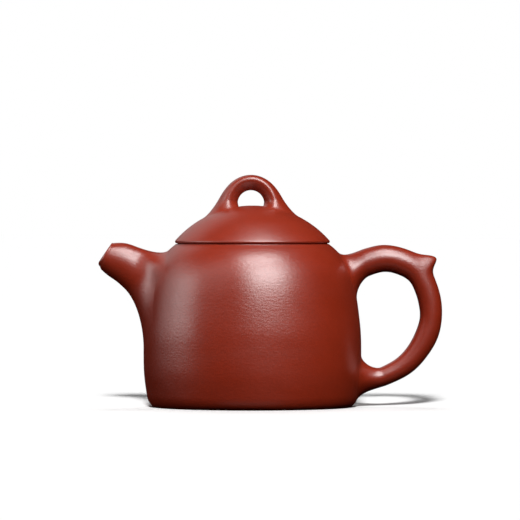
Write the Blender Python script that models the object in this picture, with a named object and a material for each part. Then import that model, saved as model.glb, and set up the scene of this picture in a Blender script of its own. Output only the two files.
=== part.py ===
"""A Yixing clay teapot shaped like an old scale weight, as the separate clay pieces it is made of.

The potter forms each piece on its own, joins it to its neighbours with slip and fires the pot and
its lid as two bodies. Here each piece is a solid of its own with a hairline gap to its neighbours.

Frame: +Z is up and is the pot's axis, the spout points along -X and the handle along +X. The origin
is the centre of the flat underside. Lengths are in millimetres, and new_piece turns them to metres.
The lid's pieces are drawn in the lid's own frame, whose origin is on the axis at the lid's underside.
"""

import math

import bmesh
import bpy
import numpy as np

MM = 0.001
GAP = 0.3  # between two pieces that touch
EDGE = 0.5  # thickness of a skirt's outer edge

# Body
STANDING_R = 38.2  # flat underside
CORNER_R, CORNER_Z = 42.3, 5.2  # where the rounded foot corner meets the wall
CORNER_PULL = 2.6
WALL_KNOTS_Z = (CORNER_Z, 12.4, 21.0, 29.2, 36.4, 43.6, 50.0, 56.0, 61.2, 64.4, 65.2)
WALL_KNOTS_R = (CORNER_R, 43.26, 43.55, 43.4, 42.72, 41.75, 40.5, 38.45, 34.95, 31.6, 30.55)
WALL = 3.0
FLOOR = 3.4
WALL_TOP_Z = 62.4
MOUTH_Z = 65.2  # top of the mouth ring
MOUTH_R = 26.3
MOUTH_EDGE_R = 30.1  # outer edge of the mouth ring's flat top

# Spout: rings across the tube, each as its top point, its bottom point and its half depth
INLET_Z = 50.0
INLET_R = 7.5
SPOUT_FOOT_Z, SPOUT_FOOT_UP, SPOUT_FOOT_DOWN = 43.0, 19.6, 18.5
SPOUT_FOOT_SPREAD = math.radians(36)
SPOUT_RINGS = (
    ((-46.8, 64.3), (-51.3, 47.5), 6.4),
    ((-50.2, 65.4), (-54.6, 50.4), 6.0),
    ((-53.6, 65.7), (-58.4, 53.1), 5.6),
    ((-55.4, 65.6), (-60.6, 55.1), 5.3),
)
SPOUT_LIP = ((-55.8, 65.2), (-61.5, 57.2), 4.7)
SPOUT_MOUTH = ((-56.6, 64.0), (-60.7, 58.4), 3.3)
SPOUT_WALL = 2.4
SPOUT_FOOT_PULL = (0.8, 1.05, 0.9)  # at the top, at the sides and at the bottom
SPOUT_RING_PULL = (0.75, 1.3, 0.9)
SPOUT_BOW = 2.0  # how much nearer the body the tube's sides meet its flare than its top and bottom do

# Strainer: a pierced dome over the inlet, inside the pot
STRAINER_X = -38.5
STRAINER_R = 9.2
STRAINER_WALL = 1.3
STRAINER_HOLE_R = 0.85
STRAINER_ROWS = ((24, 6), (46, 10), (68, 13))  # degrees from the dome's pole, holes

# Handle: rings across the roll, each as its outer point, its inner point and its half depth
HANDLE_RINGS = (
    ((44.8, 63.3), (47.0, 52.5), 5.7),
    ((51.8, 64.8), (52.4, 54.0), 5.5),
    ((60.2, 63.6), (58.4, 52.9), 5.3),
    ((66.3, 60.8), (62.9, 50.1), 5.0),
    ((70.4, 56.4), (65.0, 46.2), 4.8),
    ((74.8, 46.2), (66.4, 41.6), 4.7),
    ((75.9, 38.0), (67.0, 36.9), 4.6),
    ((74.7, 29.2), (66.0, 32.0), 4.5),
    ((70.3, 20.8), (63.0, 25.6), 4.4),
    ((63.2, 13.4), (57.6, 19.4), 4.2),
    ((54.6, 9.0), (51.4, 15.9), 4.1),
)
UPPER_FOOT = (52.6, 9.0, -9.0)  # its middle height, then where the outer and the inner outline land
LOWER_FOOT = (11.4, -8.6, 8.8)
FOOT_SPREAD = math.radians(13)
HANDLE_FOOT_PULL = 1.0
HANDLE_RING_PULL = 0.9
SPUR_AT = 0.33  # share of the way along the handle
SPUR_RISE, SPUR_FALL = 0.045, 0.03  # its slopes, as shares of the handle's length
SPUR_REACH = 4.4
SPUR_DIRECTION = (0.88, 0.0, 0.48)
SPUR_SHARPNESS = 3

# Lid, in its own frame
LID_SEAT_Z = 65.5
DOME_R = 41.0
DOME_CENTRE_Z = -25.9
DOME_WALL = 2.8
DOME_FOOT_Z = 1.9
VENT_R = 1.1
PLATE_TOP_Z = 1.6
PLATE_INNER_R = 23.7
PLATE_EDGE = ((30.45, 0.0), (30.86, 0.35), (30.85, 0.8), (30.62, 1.2), (30.33, PLATE_TOP_Z))
FLANGE_R = 26.0
FLANGE_DEPTH = 8.0

# Bridge-shaped knob, in the lid's frame
ARCH_X, ARCH_Z = -0.6, 15.9  # centre of the finger hole; the bridge was set slightly off the axis
ARCH_HOLE_R = 5.3
ARCH_OUTER_R = 11.45
ARCH_FLARE = 2.3  # what the outer radius gains by the time it reaches the legs
ARCH_FLARE_POWER = 4.6
ARCH_END = math.radians(80)
ARCH_HALF_DEPTH = 3.8
LEG_HALF_DEPTH = 4.6
LEG_FOOT = (9.8, 8.6, 4.7, 5.8)  # its middle, its reach outwards, inwards and sideways
LEG_FOOT_PULL = 0.8
LEG_RING_PULL = 0.7

CLAY = (0.42, 0.085, 0.045, 1.0)
TURNED_SIDES = 48
CORNER_STEPS = 12
TUBE_SIDES = 20


def clear_scene():
    for obj in list(bpy.data.objects):
        bpy.data.objects.remove(obj)


def clay(name, roughness):
    """The fired red clay of one piece, smoother where the potter burnished it."""
    material = bpy.data.materials.new(name + "_clay")
    material.use_nodes = True
    shader = material.node_tree.nodes["Principled BSDF"]
    shader.inputs["Base Color"].default_value = CLAY
    shader.inputs["Roughness"].default_value = roughness
    shader.inputs["Metallic"].default_value = 0.0
    return material


def new_piece(name, parent, rings, looped, roughness=0.45):
    """A closed mesh over rings of points in millimetres: looped back on itself, or capped at its ends."""
    sides = len(rings[0])
    points = [tuple(np.asarray(p) * MM) for ring in rings for p in ring]
    faces = []
    for row in range(len(rings) if looped else len(rings) - 1):
        here, there = row * sides, (row + 1) % len(rings) * sides
        for k in range(sides):
            after = (k + 1) % sides
            faces.append((here + k, here + after, there + after, there + k))
    if not looped:
        faces.append(tuple(range(sides)))
        faces.append(tuple((len(rings) - 1) * sides + k for k in range(sides)))
    mesh = bpy.data.meshes.new(name)
    mesh.from_pydata(points, [], faces)
    shell = bmesh.new()
    shell.from_mesh(mesh)
    bmesh.ops.recalc_face_normals(shell, faces=shell.faces)
    shell.to_mesh(mesh)
    shell.free()
    mesh.shade_smooth()
    mesh.set_sharp_from_angle(angle=math.radians(40))
    mesh.materials.append(clay(name, roughness))
    obj = bpy.data.objects.new(name, mesh)
    obj.parent = parent
    bpy.context.scene.collection.objects.link(obj)
    return obj


def frame(name, height):
    """An empty on the pot's axis that carries one rigid body's pieces."""
    empty = bpy.data.objects.new(name, None)
    empty.location = (0.0, 0.0, height * MM)
    bpy.context.scene.collection.objects.link(empty)
    return empty


def cut(obj, cutter, operation="DIFFERENCE"):
    cutter.hide_render = True
    cutter.display_type = "WIRE"
    boolean = obj.modifiers.new(cutter.name, "BOOLEAN")
    boolean.operation = operation
    boolean.object = cutter


def natural_spline(at, values):
    """The natural cubic spline through values at the given places, as a function."""
    at, values = np.asarray(at, float), np.asarray(values, float)
    count, step = len(at), np.diff(at)
    matrix, right = np.eye(count), np.zeros_like(values)
    for i in range(1, count - 1):
        matrix[i, i - 1 : i + 2] = step[i - 1], 2 * (step[i - 1] + step[i]), step[i]
        right[i] = 6 * (
            (values[i + 1] - values[i]) / step[i] - (values[i] - values[i - 1]) / step[i - 1]
        )
    bend = np.linalg.solve(matrix, right)

    def value(x):
        i = int(np.clip(np.searchsorted(at, x) - 1, 0, count - 2))
        h, left, after = step[i], x - at[i], at[i + 1] - x
        return (
            (bend[i] * after**3 + bend[i + 1] * left**3) / (6 * h)
            + (values[i] / h - bend[i] * h / 6) * after
            + (values[i + 1] / h - bend[i + 1] * h / 6) * left
        )

    return value


wall_radius = natural_spline(WALL_KNOTS_Z, WALL_KNOTS_R)


def foot_corner():
    """The corner between the flat underside and the wall, as a curve of (radius, height)."""
    lean = (wall_radius(CORNER_Z + 0.1) - wall_radius(CORNER_Z)) / 0.1
    start, end = np.array([STANDING_R, 0.0]), np.array([CORNER_R, CORNER_Z])
    first = start + (CORNER_PULL, 0.0)
    second = end - CORNER_PULL * np.array([lean, 1.0])
    t = np.linspace(0, 1, CORNER_STEPS + 1)[:, None]
    u = 1 - t
    return u**3 * start + 3 * u**2 * t * first + 3 * u * t**2 * second + t**3 * end


CORNER = foot_corner()


def body_radius(z):
    """Outer radius of the body at a height."""
    if z >= CORNER_Z:
        return float(wall_radius(z))
    return float(np.interp(z, CORNER[:, 1], CORNER[:, 0]))


def body_normal(z):
    """The outline's outward normal (radial, vertical) at a height."""
    step = 0.05
    slope = (body_radius(z + step) - body_radius(z - step)) / (2 * step)
    return np.array([1.0, -slope]) / math.hypot(1.0, slope)


def body_point(side, azimuth, z, out):
    """A point that lies `out` from the body's surface, on the spout's side (-1) or the handle's (+1)."""
    normal = body_normal(z)
    r = body_radius(z) + out * normal[0]
    return np.array([side * r * math.cos(azimuth), r * math.sin(azimuth), z + out * normal[1]])


def body_outward(side, azimuth, z):
    radial, vertical = body_normal(z)
    return np.array([side * radial * math.cos(azimuth), radial * math.sin(azimuth), vertical])


def dome_point(x, y, out):
    return np.array([x, y, DOME_CENTRE_Z + math.sqrt((DOME_R + out) ** 2 - x * x - y * y)])


def dome_outward(x, y):
    normal = dome_point(x, y, 0) - (0, 0, DOME_CENTRE_Z)
    return normal / np.linalg.norm(normal)


def turned(profile, sides=TURNED_SIDES):
    """Rings of a turned piece, one for each (radius, height) of its outline."""
    angles = [2 * math.pi * k / sides for k in range(sides)]
    return [[(r * math.cos(a), r * math.sin(a), z) for a in angles] for r, z in profile]


def ring_angles():
    return np.array([2 * math.pi * k / TUBE_SIDES for k in range(TUBE_SIDES)])


def ring_across(first, second, half_depth, shrink=0.0):
    """An ellipse across a tube, from its first outline point to its second, both in the XZ plane."""
    first, second = (np.array([p[0], 0.0, p[1]]) for p in (first, second))
    middle, half = (first + second) / 2, (first - second) / 2
    half = half * (1 - shrink / np.linalg.norm(half))
    t = ring_angles()[:, None]
    return middle + np.cos(t) * half + np.sin(t) * np.array([0.0, half_depth - shrink, 0.0])


def tube_spline(rings):
    """The rings' outline points and half depth as one spline over the share of the way along."""
    table = np.array([[*first, *second, depth] for first, second, depth in rings])
    middles = (table[:, 0:2] + table[:, 2:4]) / 2
    along = np.concatenate([[0], np.cumsum(np.linalg.norm(np.diff(middles, axis=0), axis=1))])
    return natural_spline(along / along[-1], table)


def foot_places(middle, first_reach, second_reach, spread, narrowing=0.0):
    """(azimuth, height) round a footprint on the body. It narrows towards its second outline point."""
    places = []
    for t in ring_angles():
        reach = first_reach if math.cos(t) > 0 else -second_reach
        width = spread * (1 - narrowing * max(0.0, -math.cos(t)))
        places.append((width * math.sin(t), middle + reach * math.cos(t)))
    return places


def skirt(foot, outward, ring, onward, foot_pull, ring_pull, steps):
    """Rings that leave a surface tangentially at the footprint and run into a tube's first ring."""
    span = ring - foot
    reach = np.linalg.norm(span, axis=1)[:, None]
    along = span - (span * outward).sum(axis=1)[:, None] * outward
    start = foot_pull * reach * along / np.linalg.norm(along, axis=1)[:, None]
    end = ring_pull * reach * onward / np.linalg.norm(onward, axis=1)[:, None]
    rows = []
    for i in range(1, steps):
        u = i / steps
        rows.append(
            (2 * u**3 - 3 * u**2 + 1) * foot
            + (u**3 - 2 * u**2 + u) * start
            + (3 * u**2 - 2 * u**3) * ring
            + (u**3 - u**2) * end
        )
    return rows


def round_the_ring(top, side, bottom):
    """A value for each ring point, from those at the ring's top, sides and bottom."""
    cosine = np.cos(ring_angles())
    return (side + (np.where(cosine > 0, top, bottom) - side) * cosine**2)[:, None]


def bowed(rings, shares):
    """Tube rings whose sides are set back towards the body, the most on the first ring."""
    back = rings[0].mean(axis=0) - rings[1].mean(axis=0)
    back /= np.linalg.norm(back)
    sideness = np.sin(ring_angles())[:, None] ** 2
    return [
        ring + SPOUT_BOW * (1 - share) ** 2 * sideness * back
        for ring, share in zip(rings, shares)
    ]


def body_skirt(side, places, ring, onward, foot_pull, ring_pull, steps=5):
    """The skirt of a tube that stands on the body, with its thin outer edge as the first ring."""
    foot = np.array([body_point(side, a, z, GAP + EDGE) for a, z in places])
    outward = np.array([body_outward(side, a, z) for a, z in places])
    return [foot, *skirt(foot, outward, ring, onward, foot_pull, ring_pull, steps)]


def body_patch(side, places, shares, towards=None):
    """Rings on the body's surface, from a footprint towards its middle or towards other places."""
    places = np.array(places)
    towards = places.mean(axis=0) if towards is None else np.array(towards)
    rows = []
    for share in shares:
        row = places * (1 - share) + towards * share
        rows.append([body_point(side, a, z, GAP) for a, z in row])
    return rows


def make_base_disc(pot):
    r = STANDING_R - GAP
    new_piece("base_disc", pot, turned([(r, FLOOR), (r, 0)]), looped=False)


def wall_profile():
    """Outline of the body wall, up the outside and down the inside."""
    outside = [tuple(p) for p in CORNER[::3]]
    heights = (9, 13, 19, 26, 33, 39, 44, 48, 52, 55, 58, 60.4, WALL_TOP_Z)
    outside += [(body_radius(z), z) for z in heights]
    inside = []
    for z in (64.6, 62.6, 59, 54, 47, 38, 26, 12, 7.5):
        radial, vertical = body_normal(z)
        r, height = body_radius(z) - WALL * radial, z - WALL * vertical
        inside.append((r, min(height, WALL_TOP_Z)))
    return outside + inside + [(STANDING_R, FLOOR + 0.2)]


def make_body_wall(pot):
    wall = new_piece("body_wall", pot, turned(wall_profile()), looped=True)
    inlet = [
        [
            (x, INLET_R * math.sin(a), INLET_Z + INLET_R * math.cos(a))
            for a in ring_angles()
        ]
        for x in (-CORNER_R - 10, -CORNER_R + 16)
    ]
    cut(wall, new_piece("inlet_cutter", pot, inlet, looped=False))


def make_mouth_ring(pot):
    foot_z = WALL_TOP_Z + GAP
    outside = [(body_radius(z), z) for z in (foot_z, 63.6, 64.4, 64.9)]
    profile = [(MOUTH_R, foot_z), *outside, (MOUTH_EDGE_R, MOUTH_Z), (MOUTH_R, MOUTH_Z)]
    new_piece("mouth_ring", pot, turned(profile), looped=True)


def make_spout(pot):
    spline = tube_spline(SPOUT_RINGS)
    shares = [i / 6 for i in range(7)]
    outer = bowed([ring_across(v[0:2], v[2:4], v[4]) for v in map(spline, shares)], shares)
    inner = [ring_across(v[0:2], v[2:4], v[4], SPOUT_WALL) for v in map(spline, shares)]
    foot = foot_places(SPOUT_FOOT_Z, SPOUT_FOOT_UP, -SPOUT_FOOT_DOWN, SPOUT_FOOT_SPREAD, 0.35)
    hole = [
        (INLET_R * math.sin(t) / body_radius(INLET_Z), INLET_Z + INLET_R * math.cos(t))
        for t in ring_angles()
    ]
    rim = np.array([body_point(-1, a, z, GAP) for a, z in hole])
    channel = [rim * (1 - u) + inner[0] * u for u in (0, 0.5)]
    rings = [
        *body_skirt(
            -1,
            foot,
            outer[0],
            outer[1] - outer[0],
            round_the_ring(*SPOUT_FOOT_PULL),
            round_the_ring(*SPOUT_RING_PULL),
        ),
        *outer,
        ring_across(*SPOUT_LIP),
        ring_across(*SPOUT_MOUTH),
        *reversed(inner[:-1]),
        *reversed(channel),
        *body_patch(-1, hole, (0.33, 0.66, 1.0), towards=foot),
    ]
    new_piece("spout", pot, rings, looped=True)


def strainer_shell(pot):
    """The plain dome, turned about the inlet's axis, with the hole at its pole."""
    outside = [math.radians(a) for a in (5.4, 15, 27, 39, 51, 63, 75, 88, 100)]
    inner_r = STRAINER_R - STRAINER_WALL
    arcs = [(STRAINER_R, a) for a in outside] + [(inner_r, a) for a in reversed(outside)]
    rings = [
        [
            (
                STRAINER_X + r * math.cos(a),
                r * math.sin(a) * math.cos(t),
                INLET_Z + r * math.sin(a) * math.sin(t),
            )
            for t in (2 * math.pi * k / 24 for k in range(24))
        ]
        for r, a in arcs
    ]
    return new_piece("strainer", pot, rings, looped=True)


def strainer_drill(pot, name, polar, turn):
    """A six-sided cutter through the dome, along its radius."""
    axis = np.array(
        [math.cos(polar), math.sin(polar) * math.cos(turn), math.sin(polar) * math.sin(turn)]
    )
    sideways = np.cross(axis, (1.0, 0.0, 0.0))
    sideways /= np.linalg.norm(sideways)
    upward = np.cross(axis, sideways)
    centre = np.array([STRAINER_X, 0.0, INLET_Z])
    ends = (STRAINER_R - STRAINER_WALL - 1.2, STRAINER_R + 1.2)
    rings = [
        [
            centre
            + axis * reach
            + STRAINER_HOLE_R * (math.cos(t) * sideways + math.sin(t) * upward)
            for t in (2 * math.pi * k / 6 for k in range(6))
        ]
        for reach in ends
    ]
    return new_piece(name, pot, rings, looped=False)


def make_strainer(pot):
    strainer = strainer_shell(pot)
    heights = (FLOOR, 12, 24, 34, 42, 50, 56, 60)
    profile = []
    for z in heights:
        radial, _ = body_normal(z)
        profile.append((body_radius(z) - (WALL + GAP) / radial, z))
    cut(strainer, new_piece("cavity_cutter", pot, turned(profile), looped=False), "INTERSECT")
    for row, (degrees, count) in enumerate(STRAINER_ROWS):
        for k in range(count):
            turn = 2 * math.pi * (k + 0.5 * (row % 2)) / count
            name = f"strainer_drill_{row}_{k}"
            cut(strainer, strainer_drill(pot, name, math.radians(degrees), turn))


def handle_ring(spline, share):
    """One ring across the handle's roll, with the thumb spur drawn out of its outer side."""
    v = spline(share)
    ring = ring_across(v[0:2], v[2:4], v[4])
    slope = SPUR_RISE if share < SPUR_AT else SPUR_FALL
    bump = math.exp(-(((share - SPUR_AT) / slope) ** 2))
    pinch = np.maximum(0.0, np.cos(ring_angles()))[:, None] ** SPUR_SHARPNESS
    return ring + SPUR_REACH * bump * pinch * np.array(SPUR_DIRECTION)


def make_handle(pot):
    spline = tube_spline(HANDLE_RINGS)
    shares = sorted({*(i / 20 for i in range(21)), *(SPUR_AT + i * 0.016 for i in range(-4, 5))})
    roll = [handle_ring(spline, share) for share in shares]
    upper = foot_places(*UPPER_FOOT, FOOT_SPREAD)
    lower = foot_places(*LOWER_FOOT, FOOT_SPREAD)
    top = body_skirt(
        1, upper, roll[0], roll[1] - roll[0], HANDLE_FOOT_PULL, HANDLE_RING_PULL
    )
    bottom = body_skirt(
        1, lower, roll[-1], roll[-2] - roll[-1], HANDLE_FOOT_PULL, HANDLE_RING_PULL
    )
    rings = [
        *reversed(body_patch(1, upper, (0, 0.4, 0.8))),
        *top,
        *roll,
        *reversed(bottom),
        *body_patch(1, lower, (0, 0.4, 0.8)),
    ]
    new_piece("handle", pot, rings, looped=False)


def make_lid_dome(lid):
    def arc(radius, heights):
        return [(math.sqrt(radius**2 - (z - DOME_CENTRE_Z) ** 2), z) for z in heights]

    crown = DOME_R + DOME_CENTRE_Z
    inner_r = DOME_R - DOME_WALL
    top, ceiling = (math.sqrt(r**2 - VENT_R**2) + DOME_CENTRE_Z for r in (DOME_R, inner_r))
    outside = [(VENT_R, top)] + arc(DOME_R, (crown - 0.45, 13.4, 11, 8, 5, DOME_FOOT_Z))
    inside = arc(inner_r, (DOME_FOOT_Z, 4.5, 7.5, 10.2, 11.7)) + [(VENT_R, ceiling)]
    new_piece("lid_dome", lid, turned(outside + inside), looped=True)


def make_lid_plate(lid):
    profile = [(PLATE_INNER_R, 0), *PLATE_EDGE, (PLATE_INNER_R, PLATE_TOP_Z)]
    new_piece("lid_plate", lid, turned(profile), looped=True)


def make_lid_flange(lid):
    top, bottom = -GAP, -FLANGE_DEPTH
    profile = [
        (PLATE_INNER_R, top),
        (FLANGE_R, top),
        (FLANGE_R, bottom + 0.8),
        (FLANGE_R - 0.6, bottom),
        (PLATE_INNER_R, bottom),
    ]
    new_piece("lid_flange", lid, turned(profile), looped=True)


def arch_ring(angle):
    """A ring across the bridge at an angle from its top."""
    share = abs(angle) / (math.pi / 2)
    outer_r = ARCH_OUTER_R + ARCH_FLARE * share**ARCH_FLARE_POWER
    direction = np.array([math.sin(angle), math.cos(angle)])
    outer, inner = ((r * direction + (ARCH_X, ARCH_Z)) for r in (outer_r, ARCH_HOLE_R))
    depth = ARCH_HALF_DEPTH + (LEG_HALF_DEPTH - ARCH_HALF_DEPTH) * share**2
    return ring_across(outer, inner, depth)


def leg_places(side):
    middle, outwards, inwards, sideways = LEG_FOOT
    places = []
    for t in ring_angles():
        reach = outwards if math.cos(t) > 0 else inwards
        x = ARCH_X + side * (middle + reach * math.cos(t))
        places.append((x, sideways * math.sin(t)))
    return np.array(places)


def leg_skirt(side, ring, onward):
    """A leg's flare onto the dome: the patch under its foot, the thin edge and the rings above."""
    places = leg_places(side)
    middle = places.mean(axis=0)
    patch = [
        [dome_point(*(middle + (p - middle) * share), GAP) for p in places]
        for share in (0.25, 0.6, 1.0)
    ]
    foot = np.array([dome_point(x, y, GAP + EDGE * 0.6) for x, y in places])
    outward = np.array([dome_outward(x, y) for x, y in places])
    return [*patch, foot, *skirt(foot, outward, ring, onward, LEG_FOOT_PULL, LEG_RING_PULL, 6)]


def make_knob_bridge(lid):
    arch = [arch_ring(ARCH_END * (i / 8 - 1)) for i in range(17)]
    left = leg_skirt(-1, arch[0], arch[1] - arch[0])
    right = leg_skirt(1, arch[-1], arch[-2] - arch[-1])
    new_piece("knob_bridge", lid, [*left, *arch, *reversed(right)], looped=False)


def main():
    clear_scene()
    pot = frame("pot_frame", 0.0)
    lid = frame("lid_frame", LID_SEAT_Z)
    make_base_disc(pot)
    make_body_wall(pot)
    make_mouth_ring(pot)
    make_spout(pot)
    make_strainer(pot)
    make_handle(pot)
    make_lid_flange(lid)
    make_lid_plate(lid)
    make_lid_dome(lid)
    make_knob_bridge(lid)


main()
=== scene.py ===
"""The looks of the weight-shaped Yixing teapot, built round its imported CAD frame.

Every clay piece is modelled again, much finer and with no gap to its neighbours, and replaces the
CAD node of the same name. The spout's, handle's and knob's skirts run out flush with the surface
under them, so that the fired pot reads as one piece of clay, as the real one does.

Shapes are worked out in millimetres in the row frame and turned to metres in new_piece. +Z is up,
the spout points along -X and the handle along +X.
"""

import math

import bmesh
import bpy
import numpy as np
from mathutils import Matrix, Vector


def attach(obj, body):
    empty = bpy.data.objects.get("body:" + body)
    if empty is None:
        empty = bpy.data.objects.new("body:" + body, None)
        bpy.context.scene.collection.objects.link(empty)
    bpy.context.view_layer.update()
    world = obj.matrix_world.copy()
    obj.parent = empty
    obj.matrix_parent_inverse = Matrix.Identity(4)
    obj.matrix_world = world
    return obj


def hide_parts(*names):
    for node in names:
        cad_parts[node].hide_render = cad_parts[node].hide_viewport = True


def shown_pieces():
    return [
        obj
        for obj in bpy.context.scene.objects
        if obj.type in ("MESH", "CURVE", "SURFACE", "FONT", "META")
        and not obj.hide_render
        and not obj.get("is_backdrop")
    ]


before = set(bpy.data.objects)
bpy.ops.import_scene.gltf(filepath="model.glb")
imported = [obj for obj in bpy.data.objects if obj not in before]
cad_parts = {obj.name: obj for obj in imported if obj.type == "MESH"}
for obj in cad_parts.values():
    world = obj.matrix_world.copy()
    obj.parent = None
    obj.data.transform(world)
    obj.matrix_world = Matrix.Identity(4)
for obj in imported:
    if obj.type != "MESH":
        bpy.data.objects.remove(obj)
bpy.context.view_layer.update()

MM = 0.001
TAU = 2 * math.pi

# Body
STANDING_R = 38.2
CORNER_R, CORNER_Z = 42.3, 5.2
CORNER_PULL = 2.6
CORNER_ROWS = 33
WALL_KNOTS_Z = (CORNER_Z, 12.4, 21.0, 29.2, 36.4, 43.6, 50.0, 56.0, 61.2, 64.4, 65.2)
WALL_KNOTS_R = (CORNER_R, 43.26, 43.55, 43.4, 42.72, 41.75, 40.5, 38.45, 34.95, 31.6, 30.55)
WALL_ROWS = 110
WALL = 3.0
INSIDE_AT = (64.9, 64, 63, 62, 60.5, 59, 57, 54, 50, 46, 40, 34, 28, 22, 16, 12, 9.5, 8, 7.2)
FLOOR = 3.4
SLOPE_STEP = 0.05  # half the height over which the wall's slope is taken
WALL_TOP_Z = 62.4
BROW_Z = 64.95  # where the shoulder starts to turn over into the mouth ring's flat top
BROW_R = 30.6
BROW_PULL = (0.12, 0.12)
BROW_ROWS = 15
MOUTH_Z = 65.2
MOUTH_R = 26.3
MOUTH_FLAT_AT = 1.5  # a row on the ring's flat top, this far from the mouth
MOUTH_STEP, MOUTH_STEP_WIDTH = 0.5, 6.0  # how far the ring's underside reaches down and out
MOUTH_LAP = 2.0  # how far the ring lies on the wall's top
MOUTH_FIRST_ROW = 0.2  # height of its first even row over the join
MOUTH_ROWS = 9
SOFT_EDGE = 0.4  # radius that the potter's wet leather leaves on a cut edge

# Spout: rings across the tube, each as its top point, its bottom point and its half depth
INLET_Z = 50.0
INLET_R = 7.5
INLET_CUT = (-5, 16)  # ends of the cutter that bores the inlet, along X from -CORNER_R
SPOUT_FOOT_Z, SPOUT_FOOT_UP, SPOUT_FOOT_DOWN = 43.0, 19.8, 19.5
SPOUT_FOOT_SPREAD = math.radians(37)
SPOUT_FOOT_NARROWING = 0.35
SPOUT_RINGS = (
    ((-46.8, 64.3), (-51.3, 47.5), 6.4),
    ((-50.2, 65.4), (-54.6, 50.4), 6.0),
    ((-53.6, 65.7), (-58.4, 53.1), 5.6),
    ((-55.4, 65.6), (-60.6, 55.1), 5.3),
)
SPOUT_FOOT_PULL = (0.8, 0.95, 0.9)  # at the top, at the sides and at the bottom
SPOUT_RING_PULL = (0.75, 1.3, 0.9)
SPOUT_ROWS = 30
SPOUT_BOW = 1.5  # the first ring's sides lie this much further back than its top and bottom
SPOUT_BOW_RING = 6  # the ring that gives the direction of the bow
SPOUT_TIP_CUT = ((-56.1, 65.8), (-62.1, 57.0))  # the plane the tip is cut to
SPOUT_TIP_HALF_DEPTH = 5.0
SPOUT_TIP_ROUNDING = (0.5, 1.3)  # at the top and at the bottom of the cut
SPOUT_MOUTH = ((-56.6, 64.0), (-60.7, 58.4), 3.3)
SPOUT_WALL = 2.4
LIP_ROWS = 9
CHANNEL_ROWS = 9
TIP_SHARES = (0.35, 0.7, 0.9, 1.0)  # rows on the tip's cut face, from the lip to the mouth
THROAT_SHARES = (0.1, 0.3, 0.65)  # rows from the mouth to the channel
SPOUT_PATCH = (0.3, 0.6, 0.97)  # rows sunk in the wall, from the inlet to the foot

# Strainer
STRAINER_X = -38.5
STRAINER_R = 9.2
STRAINER_WALL = 1.3
STRAINER_SIDES = 96
STRAINER_AT = (4.8, 12, 20, 28, 36, 44, 52, 60, 68, 76, 84, 90, 96)  # degrees from its axis
STRAINER_INSET = 0.2  # how far it is let into the wall's inside
STRAINER_WALL_AT = range(30, 62, 2)  # heights of the wall's inside, which trims it
STRAINER_HOLE_R = 0.85
STRAINER_ROWS = ((24, 6), (46, 10), (68, 13))  # degrees from its axis, and number of holes
DRILL_SIDES = 20
DRILL_SPARE = 0.6  # how far a drill stands out of the strainer on both sides
CUT_SLIVER = 0.002  # edges shorter than this, which a cut leaves along its rim, are closed up

# Handle
HANDLE_RINGS = (
    ((44.8, 63.3), (47.0, 52.5), 5.7),
    ((51.8, 64.8), (52.4, 54.0), 5.5),
    ((60.2, 63.6), (58.4, 52.9), 5.3),
    ((66.3, 60.8), (62.9, 50.1), 5.0),
    ((70.4, 56.4), (65.0, 46.2), 4.8),
    ((74.8, 46.2), (66.4, 41.6), 4.7),
    ((75.9, 38.0), (67.0, 36.9), 4.6),
    ((74.7, 29.2), (66.0, 32.0), 4.5),
    ((70.3, 20.8), (63.0, 25.6), 4.4),
    ((63.2, 13.4), (57.6, 19.4), 4.2),
    ((54.6, 9.0), (51.4, 15.9), 4.1),
)
HANDLE_ROWS = 200
UPPER_FOOT = (52.6, 9.4, -9.6)  # middle height, and reach on the ring's first and second side
LOWER_FOOT = (11.4, -9.2, 9.4)
HANDLE_PATCH = (0.03, 0.4, 0.8)  # rows sunk in the wall, from the foot to its middle
FOOT_SPREAD = math.radians(13.5)
HANDLE_FOOT_PULL = 1.0
HANDLE_RING_PULL = 0.9
SPUR_AT = 0.33
SPUR_RISE, SPUR_FALL = 0.045, 0.03
SPUR_REACH = 4.4
SPUR_DIRECTION = (0.88, 0.0, 0.48)
SPUR_SHARPNESS = 3

# Lid
LID_SEAT_Z = 65.5
LID_BED_Z, LID_BED_R = 65.22, 29.9  # the plate's ground ring, which beds on the mouth ring
LID_BED_BEVEL = 0.25
DOME_R = 41.0
DOME_CENTRE_Z = 39.6
DOME_WALL = 2.8
DOME_FOOT_Z = 67.2
DOME_ROWS, CEILING_ROWS = 64, 30
VENT_R = 1.1
VENT_EDGE, VENT_EDGE_ROWS = 0.25, 6
PLATE_INNER_R = 23.7
RIM_ROUND = 0.7
RIM_ROWS, RIM_TO_JOIN_ROWS = 17, 4
FLANGE_R = 26.0
FLANGE_DEPTH = 8.0
FLANGE_ROWS = 12
FLANGE_GAP = 0.02  # to the plate, so that the two never touch while the plate turns

# Bridge knob
ARCH_X, ARCH_Z = -0.6, 81.4
ARCH_HOLE_R = 5.3
ARCH_OUTER_R = 11.45
ARCH_FLARE = 2.3
ARCH_FLARE_POWER = 4.6
ARCH_END = math.radians(80)
ARCH_ROWS = 48  # on each side of its top
ARCH_HALF_DEPTH = 3.8
ARCH_RIDGE = 1.8  # above 1, the bridge comes to a soft ridge along its front and its back
ARCH_RIDGE_SHIFT = 0.4  # how far the ridge lies towards the arch's outer edge at the top
LEG_HALF_DEPTH = 4.6
LEG_FOOT = (9.8, 9.4, 4.9, 7.4)  # middle, and reach outwards, inwards and sideways
LEG_FOOT_PULL = 0.8
LEG_RING_PULL = 0.7
LEG_PATCH = (0.25, 0.6, 0.97)

TURNED_SIDES = 256
TUBE_SIDES = 72
SKIRT_ROWS = 40
EDGE_ROWS = 7  # on a rounded edge
SHARP_ANGLE = math.radians(45)
THIN_ROW = 0.04  # last row at a join, which gives both pieces the same shading there
SINK = 0.8  # how deep a skirt's closing face lies under the surface it runs out on

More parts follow.
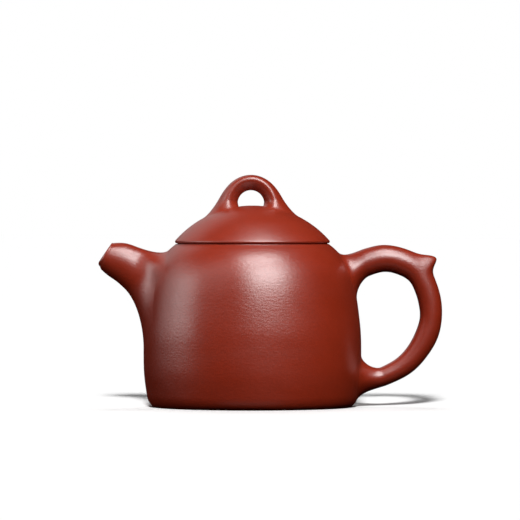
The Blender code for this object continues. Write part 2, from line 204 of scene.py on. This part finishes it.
# Clay: low and high roughness, and depth of the relief. Grain and strokes are in metres.
BURNISHED = ((0.3, 0.37), 1.0)
FINE = ((0.32, 0.4), 0.45)
DRY = ((0.6, 0.75), 1.0)
DRY_PIECES = ("base_disc_fine", "strainer_fine", "lid_flange_fine")
FINE_PIECES = ("lid_plate_fine", "lid_dome_fine", "knob_bridge_fine")
CLAY_IOR, CLAY_SPECULAR = 1.52, 0.95
CLAY_DARK = (0.204, 0.0150, 0.0036, 1)
CLAY_PALE = (0.237, 0.0186, 0.0048, 1)
COLOUR_SHARE = 0.8  # how strongly strokes and grains colour the clay
GRAIN_DEPTH, STROKE_DEPTH = 0.00002, 0.00006
CLOUD_NOISE = (28, 4, 0.55)  # scale, detail, roughness and, where it isn't even, stretch
STROKE_NOISE = (400, 3, 0.6, (1, 1, 3))
GRAIN_NOISE = (2600, 2, 0.6)
SHEEN_NOISE = (60, 4, 0.6, (1, 1, 3))
GRAIN_RELIEF_NOISE = (2300, 3, 0.65)
STROKE_RELIEF_NOISE = (640, 3, 0.5, (1, 1, 2))

# Studio, in metres and degrees. Azimuth 0 is the camera's side, 90 the handle's, -90 the spout's.
VIEW_WIDTH, VIEW_DISTANCE, VIEW_HEIGHT = 0.208, 2.1, 0.0797
VIEW_CENTRE = (0.00304, 0.0, 0.0588)
SENSOR_WIDTH = 36.0
CLIP_END = 100.0
FLOOR_HALF = 12.0
FLOOR_WHITE, FLOOR_ROUGHNESS, FLOOR_SPECULAR = 0.9, 0.9, 0.1
BOX_DISTANCE = 0.8
BOX_TARGET = (0, 0, 0.045)
SOFTBOXES = (  # name, azimuth, elevation, width and height, power
    ("left_front", -46, 38, (40, 40), 0.55),
    ("key_core", 18, 37, (40, 30), 4.2),
    ("key_bloom", 20, 43, (66, 46), 4.1),
    ("top", 20, 69, (85, 18), 3.1),
    ("left", -92, 21, (56, 44), 1.3),
    ("left_core", -81, 15, (30, 24), 0.8),
    ("right_fill", 58, 28, (30, 40), 0.1),
    ("floor_bounce", 0, -45, (80, 16), 0.1),
    ("back_fill", -152, 32, (50, 40), 0.6),
    ("back_wash", 172, 8, (100, 40), 3.5),
)
MATT_BOXES = ("back_wash",)  # shows the far side without a bright edge on the near one
FLOOR_SUNS = (  # azimuth, elevation, softness, brightness: four make the shadow, one lifts it
    (-1.8, 22.5, 3.5, 0.21),
    (-1.8, 25, 3.5, 0.21),
    (0.8, 22.5, 3.5, 0.21),
    (0.8, 25, 3.5, 0.21),
    (180, 64, 24, 0.2),
)


# ---------------------------------------------------------------- curves and surfaces


def natural_spline(at, values):
    """The natural cubic spline through values at the given places, as a function."""
    at, values = np.asarray(at, float), np.asarray(values, float)
    count, step = len(at), np.diff(at)
    matrix, right = np.eye(count), np.zeros_like(values)
    for i in range(1, count - 1):
        matrix[i, i - 1 : i + 2] = step[i - 1], 2 * (step[i - 1] + step[i]), step[i]
        right[i] = 6 * (
            (values[i + 1] - values[i]) / step[i] - (values[i] - values[i - 1]) / step[i - 1]
        )
    bend = np.linalg.solve(matrix, right)

    def value(x):
        i = int(np.clip(np.searchsorted(at, x) - 1, 0, count - 2))
        h, left, after = step[i], x - at[i], at[i + 1] - x
        return (
            (bend[i] * after**3 + bend[i + 1] * left**3) / (6 * h)
            + (values[i] / h - bend[i] * h / 6) * after
            + (values[i + 1] / h - bend[i + 1] * h / 6) * left
        )

    return value


def bezier(points, count):
    start, first, second, end = (np.array(p, float) for p in points)
    t = np.linspace(0, 1, count)[:, None]
    u = 1 - t
    return u**3 * start + 3 * u**2 * t * first + 3 * u * t**2 * second + t**3 * end


wall_radius = natural_spline(WALL_KNOTS_Z, WALL_KNOTS_R)


def wall_slope(z):
    return (wall_radius(z + SLOPE_STEP) - wall_radius(z - SLOPE_STEP)) / (2 * SLOPE_STEP)


def foot_corner():
    end = np.array([CORNER_R, CORNER_Z])
    second = end - CORNER_PULL * np.array([wall_slope(CORNER_Z + SLOPE_STEP), 1.0])
    first = (STANDING_R + CORNER_PULL, 0)
    return bezier(((STANDING_R, 0), first, second, end), CORNER_ROWS)


CORNER = foot_corner()


def body_radius(z):
    if z >= CORNER_Z:
        return float(wall_radius(z))
    return float(np.interp(z, CORNER[:, 1], CORNER[:, 0]))


def body_normal(z):
    slope = (body_radius(z + SLOPE_STEP) - body_radius(z - SLOPE_STEP)) / (2 * SLOPE_STEP)
    return np.array([1.0, -slope]) / math.hypot(1.0, slope)


def body_point(side, azimuth, z, out):
    """A point `out` from the body's surface, on the spout's side (-1) or the handle's (+1)."""
    normal = body_normal(z)
    r = body_radius(z) + out * normal[0]
    return np.array([side * r * math.cos(azimuth), r * math.sin(azimuth), z + out * normal[1]])


def body_outward(side, azimuth, z):
    radial, vertical = body_normal(z)
    return np.array([side * radial * math.cos(azimuth), radial * math.sin(azimuth), vertical])


def dome_point(x, y, out):
    return np.array([x, y, DOME_CENTRE_Z + math.sqrt((DOME_R + out) ** 2 - x * x - y * y)])


def dome_outward(x, y):
    normal = dome_point(x, y, 0) - (0, 0, DOME_CENTRE_Z)
    return normal / np.linalg.norm(normal)


def arc(centre, radius, first, last, count):
    """Outline points (radius, height) round a centre, between two angles in degrees."""
    angles = np.radians(np.linspace(first, last, count))
    return np.array(centre) + radius * np.stack([np.cos(angles), np.sin(angles)], axis=1)


# ---------------------------------------------------------------- meshes


def new_piece(name, body, rings, looped):
    """A closed mesh over rings of points, which replaces the CAD node of its name.

    With no body it is a helper, which cut removes again.
    """
    rings = np.asarray(rings, float)
    rows, sides = rings.shape[:2]
    faces = []
    for row in range(rows if looped else rows - 1):
        here, there = row * sides, (row + 1) % rows * sides
        for k in range(sides):
            after = (k + 1) % sides
            faces.append((here + k, here + after, there + after, there + k))
    if not looped:
        faces.append(tuple(range(sides)))
        faces.append(tuple((rows - 1) * sides + k for k in range(sides)))
    mesh = bpy.data.meshes.new(name)
    mesh.from_pydata((rings.reshape(-1, 3) * MM).tolist(), [], faces)
    shell = bmesh.new()
    shell.from_mesh(mesh)
    bmesh.ops.recalc_face_normals(shell, faces=shell.faces)
    shell.to_mesh(mesh)
    shell.free()
    mesh.shade_smooth()
    mesh.set_sharp_from_angle(angle=SHARP_ANGLE)
    obj = bpy.data.objects.new(name + "_fine", mesh)
    bpy.context.scene.collection.objects.link(obj)
    if body:
        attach(obj, body)
        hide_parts(name)
    return obj


def turned(profile):
    """Rings of a turned piece, one for each (radius, height) of its outline."""
    profile = np.asarray(profile, float)
    angles = ring_angles(TURNED_SIDES)
    r, z = profile[:, 0:1], profile[:, 1:2]
    return np.stack([r * np.cos(angles), r * np.sin(angles), z + 0 * angles], axis=2)


def ring_angles(sides=TUBE_SIDES):
    return np.arange(sides) * TAU / sides


def ring_across(first, second, half_depth, shrink=0.0):
    """An ellipse across a tube, between two outline points in the XZ plane."""
    first, second = (np.array([p[0], 0.0, p[1]]) for p in (first, second))
    middle, half = (first + second) / 2, (first - second) / 2
    half = half * (1 - shrink / np.linalg.norm(half))
    t = ring_angles()[:, None]
    return middle + np.cos(t) * half + np.sin(t) * np.array([0.0, half_depth - shrink, 0.0])


def tube_spline(rings):
    table = np.array([[*first, *second, depth] for first, second, depth in rings])
    middles = (table[:, 0:2] + table[:, 2:4]) / 2
    along = np.concatenate([[0], np.cumsum(np.linalg.norm(np.diff(middles, axis=0), axis=1))])
    return natural_spline(along / along[-1], table)


def foot_places(middle, first_reach, second_reach, spread, narrowing=0.0):
    """A footprint on the body, as (azimuth, height) for each place round a ring."""
    places = []
    for t in ring_angles():
        reach = first_reach if math.cos(t) > 0 else -second_reach
        width = spread * (1 - narrowing * max(0.0, -math.cos(t)))
        places.append((width * math.sin(t), middle + reach * math.cos(t)))
    return places


def skirt(foot, outward, ring, onward, foot_pull, ring_pull):
    """Rings that leave a surface tangentially at the footprint and run into a tube's first ring."""
    span = ring - foot
    reach = np.linalg.norm(span, axis=1)[:, None]
    along = span - (span * outward).sum(axis=1)[:, None] * outward
    start = foot_pull * reach * along / np.linalg.norm(along, axis=1)[:, None]
    end = ring_pull * reach * onward / np.linalg.norm(onward, axis=1)[:, None]
    rows = []
    for i in range(1, SKIRT_ROWS):
        u = i / SKIRT_ROWS
        rows.append(
            (2 * u**3 - 3 * u**2 + 1) * foot
            + (u**3 - 2 * u**2 + u) * start
            + (3 * u**2 - 2 * u**3) * ring
            + (u**3 - u**2) * end
        )
    return rows


def first_to_second(values):
    """A value for each place round a ring, from its first outline point to its second."""
    share = (1 - np.cos(ring_angles())) / 2
    return (values[0] + (values[1] - values[0]) * share)[:, None]


def round_the_ring(top, side, bottom):
    """A value for each place round a ring, from those at its top, sides and bottom."""
    cosine = np.cos(ring_angles())
    return (side + (np.where(cosine > 0, top, bottom) - side) * cosine**2)[:, None]


def body_skirt(side, places, ring, onward, foot_pull, ring_pull):
    foot = np.array([body_point(side, a, z, 0.0) for a, z in places])
    outward = np.array([body_outward(side, a, z) for a, z in places])
    return [foot, *skirt(foot, outward, ring, onward, foot_pull, ring_pull)]


def body_patch(side, places, shares, towards=None):
    """Rings sunk under the body's surface, from a footprint towards its middle or other places."""
    places = np.array(places)
    towards = places.mean(axis=0) if towards is None else np.array(towards)
    rows = []
    for share in shares:
        row = places * (1 - share) + towards * share
        rows.append([body_point(side, a, z, -SINK) for a, z in row])
    return rows


# ---------------------------------------------------------------- pot


def shoulder_brow():
    """The turn from the shoulder's slope to the mouth ring's flat top."""
    start = np.array([wall_radius(BROW_Z), BROW_Z])
    lean = np.array([wall_slope(BROW_Z), 1.0])
    first = start + lean * BROW_PULL[0]
    second = (BROW_R + BROW_PULL[1], MOUTH_Z)
    return bezier((start, first, second, (BROW_R, MOUTH_Z)), BROW_ROWS)


def make_base_disc():
    r = STANDING_R
    new_piece("base_disc", "pot", turned([(1, FLOOR), (r, FLOOR), (r, 0), (1, 0)]), looped=False)


def make_body_wall():
    heights = [*np.linspace(CORNER_Z, WALL_TOP_Z, WALL_ROWS), WALL_TOP_Z - THIN_ROW]
    outside = [*CORNER[:-1], *((wall_radius(z), z) for z in sorted(heights))]
    inside = []
    for z in INSIDE_AT:
        radial, vertical = body_normal(z)
        inside.append((body_radius(z) - WALL * radial, min(z - WALL * vertical, WALL_TOP_Z)))
    profile = [*outside, *inside, (STANDING_R, FLOOR)]
    wall = new_piece("body_wall", "pot", turned(profile), looped=True)
    t = ring_angles()
    inlet = [
        np.stack([x + 0 * t, INLET_R * np.sin(t), INLET_Z + INLET_R * np.cos(t)], axis=1)
        for x in (-CORNER_R + along for along in INLET_CUT)
    ]
    cut(wall, new_piece("inlet_cutter", None, inlet, looped=False))


def make_mouth_ring():
    z = WALL_TOP_Z
    even = np.linspace(z + MOUTH_FIRST_ROW, BROW_Z, MOUTH_ROWS)[:-1]
    outside = [(wall_radius(h), h) for h in (z, z + THIN_ROW, *even)]
    rim = arc((MOUTH_R + SOFT_EDGE, MOUTH_Z - SOFT_EDGE), SOFT_EDGE, 90, 180, EDGE_ROWS)
    step_z = z - MOUTH_STEP
    underside = [(MOUTH_R, step_z), (MOUTH_R + MOUTH_STEP_WIDTH, step_z)]
    flat = (MOUTH_R + MOUTH_FLAT_AT, MOUTH_Z)
    profile = [*outside, *shoulder_brow(), flat, *rim, *underside, (wall_radius(z) - MOUTH_LAP, z)]
    new_piece("mouth_ring", "pot", turned(profile), looped=True)


def tip_ring(turn):
    """A ring of the rounded edge round the tip's cut, from the tube (0) to the cut (pi / 2)."""
    top, bottom = (np.array(p) for p in SPOUT_TIP_CUT)
    run = (bottom - top) / np.linalg.norm(bottom - top)
    inward = np.array([-run[1], 0.0, run[0]])
    inward *= np.sign(inward[0])
    ring = ring_across(top, bottom, SPOUT_TIP_HALF_DEPTH)
    centrewards = ring.mean(axis=0) - ring
    centrewards /= np.linalg.norm(centrewards, axis=1)[:, None]
    radius = first_to_second(SPOUT_TIP_ROUNDING)
    return ring + radius * ((1 - math.cos(turn)) * centrewards + (1 - math.sin(turn)) * inward)


def make_spout():
    spline = tube_spline(SPOUT_RINGS)
    shares = [i / SPOUT_ROWS for i in range(SPOUT_ROWS + 1)]
    outer = [ring_across(v[0:2], v[2:4], v[4]) for v in map(spline, shares)]
    backward = outer[0].mean(axis=0) - outer[SPOUT_BOW_RING].mean(axis=0)
    backward /= np.linalg.norm(backward)
    sideness = np.sin(ring_angles())[:, None] ** 2
    outer = [
        ring + SPOUT_BOW * (1 - share) ** 2 * sideness * backward
        for ring, share in zip(outer, shares)
    ]
    inner = [ring_across(v[0:2], v[2:4], v[4], SPOUT_WALL) for v in map(spline, shares[::2])]
    lip = [tip_ring(math.radians(90 * row / LIP_ROWS)) for row in range(LIP_ROWS + 1)]
    mouth = ring_across(*SPOUT_MOUTH)
    flat = [lip[-1] * (1 - u) + mouth * u for u in TIP_SHARES]
    throat = [mouth * (1 - u) + inner[-1] * u for u in THROAT_SHARES]
    foot = foot_places(
        SPOUT_FOOT_Z, SPOUT_FOOT_UP, -SPOUT_FOOT_DOWN, SPOUT_FOOT_SPREAD, SPOUT_FOOT_NARROWING
    )
    hole = [
        (INLET_R * math.sin(t) / body_radius(INLET_Z), INLET_Z + INLET_R * math.cos(t))
        for t in ring_angles()
    ]
    rim = np.array([body_point(-1, a, z, -SINK) for a, z in hole])
    channel = [rim * (1 - u) + inner[0] * u for u in np.linspace(0, 1, CHANNEL_ROWS)[:-1]]
    pulls = (round_the_ring(*SPOUT_FOOT_PULL), round_the_ring(*SPOUT_RING_PULL))
    rings = [
        *body_skirt(-1, foot, outer[0], outer[1] - outer[0], *pulls),
        *outer,
        *lip,
        *flat,
        *throat,
        *reversed(inner),
        *reversed(channel),
        *body_patch(-1, hole, SPOUT_PATCH, towards=foot),
    ]
    new_piece("spout", "pot", rings, looped=True)


def cut(obj, cutter, operation="DIFFERENCE"):
    """Cuts obj and leaves the result as its mesh, so that no helper stays in the scene."""
    boolean = obj.modifiers.new("cut", "BOOLEAN")
    boolean.operation = operation
    boolean.object = cutter
    depsgraph = bpy.context.evaluated_depsgraph_get()
    result = bpy.data.meshes.new_from_object(obj.evaluated_get(depsgraph))
    obj.modifiers.clear()
    obj.data = result
    bpy.data.objects.remove(cutter)
    mesh = bmesh.new()
    mesh.from_mesh(result)
    bmesh.ops.dissolve_degenerate(mesh, dist=CUT_SLIVER * MM, edges=mesh.edges)
    mesh.to_mesh(result)
    mesh.free()


def make_strainer():
    angles = np.radians(STRAINER_AT)
    inner_r = STRAINER_R - STRAINER_WALL
    arcs = [(STRAINER_R, a) for a in angles] + [(inner_r, a) for a in reversed(angles)]
    t = ring_angles(STRAINER_SIDES)
    rings = []
    for r, a in arcs:
        x = STRAINER_X + r * math.cos(a) + 0 * t
        y = r * math.sin(a) * np.cos(t)
        rings.append(np.stack([x, y, INLET_Z + r * math.sin(a) * np.sin(t)], axis=1))
    strainer = new_piece("strainer", "pot", rings, looped=True)
    depth = WALL - STRAINER_INSET
    cavity = [(body_radius(z) - depth / body_normal(z)[0], z) for z in STRAINER_WALL_AT]
    cut(strainer, new_piece("cavity", None, turned(cavity), looped=False), "INTERSECT")
    for row, (degrees, count) in enumerate(STRAINER_ROWS):
        for k in range(count):
            turn = TAU * (k + 0.5 * (row % 2)) / count
            cut(strainer, strainer_drill(math.radians(degrees), turn))


def strainer_drill(polar, turn):
    axis = np.array(
        [math.cos(polar), math.sin(polar) * math.cos(turn), math.sin(polar) * math.sin(turn)]
    )
    sideways = np.cross(axis, (1.0, 0.0, 0.0))
    sideways /= np.linalg.norm(sideways)
    upward = np.cross(axis, sideways)
    centre = np.array([STRAINER_X, 0.0, INLET_Z])
    t = ring_angles(DRILL_SIDES)[:, None]
    circle = STRAINER_HOLE_R * (np.cos(t) * sideways + np.sin(t) * upward)
    ends = (STRAINER_R - STRAINER_WALL - DRILL_SPARE, STRAINER_R + DRILL_SPARE)
    return new_piece("drill", None, [centre + axis * e + circle for e in ends], looped=False)


def handle_ring(spline, share):
    v = spline(share)
    ring = ring_across(v[0:2], v[2:4], v[4])
    slope = SPUR_RISE if share < SPUR_AT else SPUR_FALL
    bump = math.exp(-(((share - SPUR_AT) / slope) ** 2))
    pinch = np.maximum(0.0, np.cos(ring_angles()))[:, None] ** SPUR_SHARPNESS
    return ring + SPUR_REACH * bump * pinch * np.array(SPUR_DIRECTION)


def make_handle():
    spline = tube_spline(HANDLE_RINGS)
    roll = [handle_ring(spline, i / HANDLE_ROWS) for i in range(HANDLE_ROWS + 1)]
    upper = foot_places(*UPPER_FOOT, FOOT_SPREAD)
    lower = foot_places(*LOWER_FOOT, FOOT_SPREAD)
    pulls = (HANDLE_FOOT_PULL, HANDLE_RING_PULL)
    top = body_skirt(1, upper, roll[0], roll[1] - roll[0], *pulls)
    bottom = body_skirt(1, lower, roll[-1], roll[-2] - roll[-1], *pulls)
    rings = [
        *reversed(body_patch(1, upper, HANDLE_PATCH)),
        *top,
        *roll,
        *reversed(bottom),
        *body_patch(1, lower, HANDLE_PATCH),
    ]
    new_piece("handle", "pot", rings, looped=False)


# ---------------------------------------------------------------- lid


def dome_outline(radius, first_z, last_z, count):
    """Outline points on a sphere about the dome's centre, evenly spaced between two heights."""
    first, last = (math.degrees(math.asin((z - DOME_CENTRE_Z) / radius)) for z in (first_z, last_z))
    return arc((0, DOME_CENTRE_Z), radius, first, last, count)


def make_lid_plate():
    centre_z = LID_SEAT_Z + RIM_ROUND
    centre_r = math.sqrt((DOME_R - RIM_ROUND) ** 2 - (centre_z - DOME_CENTRE_Z) ** 2)
    tangent = math.degrees(math.atan2(centre_z - DOME_CENTRE_Z, centre_r))
    rim = arc((centre_r, centre_z), RIM_ROUND, -90, tangent, RIM_ROWS)
    above = dome_outline(DOME_R, rim[-1][1], DOME_FOOT_Z - THIN_ROW, RIM_TO_JOIN_ROWS)[1:]
    last = dome_outline(DOME_R, DOME_FOOT_Z - THIN_ROW, DOME_FOOT_Z, 2)[1:]
    bed = [(PLATE_INNER_R, LID_BED_Z), (LID_BED_R, LID_BED_Z)]
    bevel = (LID_BED_R + LID_BED_BEVEL, LID_SEAT_Z)
    profile = [*bed, bevel, *rim, *above, *last, (PLATE_INNER_R, DOME_FOOT_Z)]
    new_piece("lid_plate", "lid", turned(profile), looped=True)


def make_lid_dome():
    inner_r = DOME_R - DOME_WALL
    edge = VENT_EDGE
    vent_top = DOME_CENTRE_Z + math.sqrt(DOME_R**2 - (VENT_R + edge) ** 2)
    vent_edge = arc((VENT_R + edge, vent_top - edge), edge, 90, 180, VENT_EDGE_ROWS)
    first = dome_outline(DOME_R, DOME_FOOT_Z, DOME_FOOT_Z + THIN_ROW, 2)[:1]
    outside = dome_outline(DOME_R, DOME_FOOT_Z + THIN_ROW, vent_top, DOME_ROWS)[:-1]
    ceiling = DOME_CENTRE_Z + math.sqrt(inner_r**2 - VENT_R**2)
    inside = dome_outline(inner_r, ceiling, DOME_FOOT_Z, CEILING_ROWS)
    profile = [*first, *outside, *vent_edge, *inside]
    new_piece("lid_dome", "lid", turned(profile), looped=True)


def make_lid_flange():
    bottom = LID_SEAT_Z - FLANGE_DEPTH
    soft = SOFT_EDGE
    top = LID_BED_Z - FLANGE_GAP
    profile = [
        (PLATE_INNER_R, top),
        *np.linspace((FLANGE_R, top), (FLANGE_R, bottom + soft), FLANGE_ROWS)[:-1],
        *arc((FLANGE_R - soft, bottom + soft), soft, 0, -90, EDGE_ROWS),
        *arc((PLATE_INNER_R + soft, bottom + soft), soft, -90, -180, EDGE_ROWS),
    ]
    new_piece("lid_flange", "lid_collar", turned(profile), looped=True)


def arch_ring(angle):
    share = abs(angle) / (math.pi / 2)
    outer_r = ARCH_OUTER_R + ARCH_FLARE * share**ARCH_FLARE_POWER
    direction = np.array([math.sin(angle), math.cos(angle)])
    outer, inner = ((r * direction + (ARCH_X, ARCH_Z)) for r in (outer_r, ARCH_HOLE_R))
    depth = ARCH_HALF_DEPTH + (LEG_HALF_DEPTH - ARCH_HALF_DEPTH) * share**2
    ring = ring_across(outer, inner, depth)
    sideness = np.abs(np.sin(ring_angles()))
    ring[:, 1] *= sideness ** (ARCH_RIDGE - 1)
    shift = ARCH_RIDGE_SHIFT * (1 - share**2) * sideness**2
    ring[:, 0::2] += shift[:, None] * (outer - inner) / 2
    return ring


def leg_places(side):
    middle, outwards, inwards, sideways = LEG_FOOT
    places = []
    for t in ring_angles():
        reach = outwards if math.cos(t) > 0 else inwards
        x = ARCH_X + side * (middle + reach * math.cos(t))
        places.append((x, sideways * math.sin(t)))
    return np.array(places)


def leg_skirt(side, ring, onward):
    places = leg_places(side)
    middle = places.mean(axis=0)
    patch = [
        [dome_point(*(middle + (p - middle) * share), -SINK) for p in places]
        for share in LEG_PATCH
    ]
    foot = np.array([dome_point(x, y, 0.0) for x, y in places])
    outward = np.array([dome_outward(x, y) for x, y in places])
    return [*patch, foot, *skirt(foot, outward, ring, onward, LEG_FOOT_PULL, LEG_RING_PULL)]


def make_knob_bridge():
    arch = [arch_ring(ARCH_END * (i / ARCH_ROWS - 1)) for i in range(2 * ARCH_ROWS + 1)]
    left = leg_skirt(-1, arch[0], arch[1] - arch[0])
    right = leg_skirt(1, arch[-1], arch[-2] - arch[-1])
    new_piece("knob_bridge", "lid", [*left, *arch, *reversed(right)], looped=False)


# ---------------------------------------------------------------- clay


def node(tree, kind, **values):
    made = tree.nodes.new(kind)
    for name, value in values.items():
        setattr(made, name, value)
    return made


def clay_material(name, gloss, relief):
    """Fired red clay: iron-red with paler and darker grains, and the burnisher's level strokes."""
    material = bpy.data.materials.new(name)
    material.use_nodes = True
    tree = material.node_tree
    link = tree.links.new
    shader = tree.nodes["Principled BSDF"]
    shader.inputs["IOR"].default_value = CLAY_IOR
    shader.inputs["Specular IOR Level"].default_value = CLAY_SPECULAR
    place = node(tree, "ShaderNodeTexCoord")

    def noise(scale, detail, roughness, stretch=(1, 1, 1)):
        mapping = node(tree, "ShaderNodeMapping")
        mapping.inputs["Scale"].default_value = stretch
        link(place.outputs["Object"], mapping.inputs["Vector"])
        texture = node(tree, "ShaderNodeTexNoise")
        texture.inputs["Scale"].default_value = scale
        texture.inputs["Detail"].default_value = detail
        texture.inputs["Roughness"].default_value = roughness
        link(mapping.outputs["Vector"], texture.inputs["Vector"])
        return texture.outputs["Fac"]

    def ramp(source, stops):
        made = node(tree, "ShaderNodeValToRGB")
        elements = made.color_ramp.elements
        for element, (position, colour) in zip(elements, (stops[0], stops[-1])):
            element.position = position
            element.color = colour
        for position, colour in stops[1:-1]:
            elements.new(position).color = colour
        link(source, made.inputs["Fac"])
        return made.outputs["Color"]

    def grey(v):
        return (v, v, v, 1.0)

    def tinted(colour, tint):
        made = node(tree, "ShaderNodeMix", data_type="RGBA", blend_type="MULTIPLY")
        made.inputs[0].default_value = COLOUR_SHARE
        link(colour, made.inputs[6])
        link(tint, made.inputs[7])
        return made.outputs[2]

    clouds = ramp(noise(*CLOUD_NOISE), ((0.3, CLAY_DARK), (0.7, CLAY_PALE)))
    strokes = ramp(noise(*STROKE_NOISE), ((0.3, grey(0.93)), (0.7, grey(1.06))))
    colour = tinted(clouds, strokes)
    grain_stops = ((0.3, grey(0.86)), (0.45, grey(1.0)), (0.7, grey(1.16)))
    grains = ramp(noise(*GRAIN_NOISE), grain_stops)
    link(tinted(colour, grains), shader.inputs["Base Color"])

    low, high = gloss
    sheen = ramp(noise(*SHEEN_NOISE), ((0.25, grey(low)), (0.75, grey(high))))
    link(sheen, shader.inputs["Roughness"])

    def bump(depth, height):
        made = node(tree, "ShaderNodeBump")
        made.inputs["Strength"].default_value = 1.0
        made.inputs["Distance"].default_value = depth * relief
        link(height, made.inputs["Height"])
        return made

    grain = bump(GRAIN_DEPTH, noise(*GRAIN_RELIEF_NOISE))
    brushed = bump(STROKE_DEPTH, noise(*STROKE_RELIEF_NOISE))
    link(grain.outputs["Normal"], brushed.inputs["Normal"])
    link(brushed.outputs["Normal"], shader.inputs["Normal"])
    return material


def paint():
    """Burnished clay outside, with less relief on the lid, and dry where no burnisher reaches."""
    burnished = clay_material("burnished_red_clay", *BURNISHED)
    fine = clay_material("fine_red_clay", *FINE)
    dry = clay_material("dry_red_clay", *DRY)
    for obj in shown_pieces():
        clay = fine if obj.name in FINE_PIECES else burnished
        obj.data.materials.clear()
        obj.data.materials.append(dry if obj.name in DRY_PIECES else clay)


# ---------------------------------------------------------------- studio


def aim(obj, place, target):
    obj.location = place
    obj.rotation_euler = (Vector(target) - Vector(place)).to_track_quat("-Z", "Y").to_euler()


def camera():
    data = bpy.data.cameras.new("camera")
    data.sensor_width = SENSOR_WIDTH
    data.lens = SENSOR_WIDTH * VIEW_DISTANCE / VIEW_WIDTH
    data.clip_end = CLIP_END
    obj = bpy.data.objects.new("camera", data)
    bpy.context.scene.collection.objects.link(obj)
    aim(obj, (VIEW_CENTRE[0], -VIEW_DISTANCE, VIEW_HEIGHT), VIEW_CENTRE)
    bpy.context.scene.camera = obj


def only_on(light, objects):
    """The light falls on these objects alone."""
    group = bpy.data.collections.new(light.name + "_receivers")
    for obj in objects:
        group.objects.link(obj)
    light.light_linking.receiver_collection = group


def direction_of(azimuth, elevation):
    a, e = math.radians(azimuth), math.radians(elevation)
    return np.array([math.cos(e) * math.sin(a), -math.cos(e) * math.cos(a), math.sin(e)])


def floor_sun(floor, azimuth, elevation, softness, brightness):
    """A sun that falls on the floor alone and makes it as bright as said, where white is 1."""
    name = f"floor_sun_{azimuth}_{elevation}"
    data = bpy.data.lights.new(name, "SUN")
    data.angle = math.radians(softness)
    data.energy = brightness * math.pi / (FLOOR_WHITE * math.sin(math.radians(elevation)))
    obj = bpy.data.objects.new(name, data)
    bpy.context.scene.collection.objects.link(obj)
    aim(obj, direction_of(azimuth, elevation), (0, 0, 0))
    only_on(obj, [floor])


def softbox(receivers, name, azimuth, elevation, spread, power):
    """A rectangular light, `spread` degrees wide and high, which falls on the receivers alone."""
    data = bpy.data.lights.new(name, "AREA")
    data.shape = "RECTANGLE"
    data.size = BOX_DISTANCE * math.radians(spread[0]) * math.cos(math.radians(elevation))
    data.size_y = BOX_DISTANCE * math.radians(spread[1])
    data.energy = power
    obj = bpy.data.objects.new(name, data)
    bpy.context.scene.collection.objects.link(obj)
    aim(obj, direction_of(azimuth, elevation) * BOX_DISTANCE + BOX_TARGET, BOX_TARGET)
    obj.visible_glossy = name not in MATT_BOXES
    only_on(obj, receivers)


def make_floor():
    """A pale floor, which the clay neither mirrors nor takes shade or colour from."""
    size = FLOOR_HALF
    mesh = bpy.data.meshes.new("floor")
    corners = [(-size, -size, 0), (size, -size, 0), (size, size, 0), (-size, size, 0)]
    mesh.from_pydata(corners, [], [(0, 1, 2, 3)])
    floor = bpy.data.objects.new("floor", mesh)
    bpy.context.scene.collection.objects.link(floor)
    white = bpy.data.materials.new("floor_white")
    white.use_nodes = True
    shader = white.node_tree.nodes["Principled BSDF"]
    shader.inputs["Base Color"].default_value = (FLOOR_WHITE, FLOOR_WHITE, FLOOR_WHITE, 1)
    shader.inputs["Roughness"].default_value = FLOOR_ROUGHNESS
    shader.inputs["Specular IOR Level"].default_value = FLOOR_SPECULAR
    mesh.materials.append(white)
    floor.visible_diffuse = False
    floor.visible_glossy = False
    floor.visible_shadow = False
    floor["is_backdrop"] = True
    return floor


def studio():
    floor = make_floor()
    world = bpy.data.worlds.new("studio")
    bpy.context.scene.world = world
    world.use_nodes = True
    background = world.node_tree.nodes["Background"]
    background.inputs["Color"].default_value = (1, 1, 1, 1)
    background.inputs["Strength"].default_value = 1.0
    world.cycles_visibility.diffuse = False
    world.cycles_visibility.glossy = False

    clay = list(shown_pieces())
    for box in SOFTBOXES:
        softbox(clay, *box)
    for sun in FLOOR_SUNS:
        floor_sun(floor, *sun)
    bpy.context.scene.view_settings.view_transform = "Standard"


def main():
    make_base_disc()
    make_body_wall()
    make_mouth_ring()
    make_spout()
    make_strainer()
    make_handle()
    make_lid_flange()
    make_lid_plate()
    make_lid_dome()
    make_knob_bridge()
    paint()
    camera()
    studio()


main()
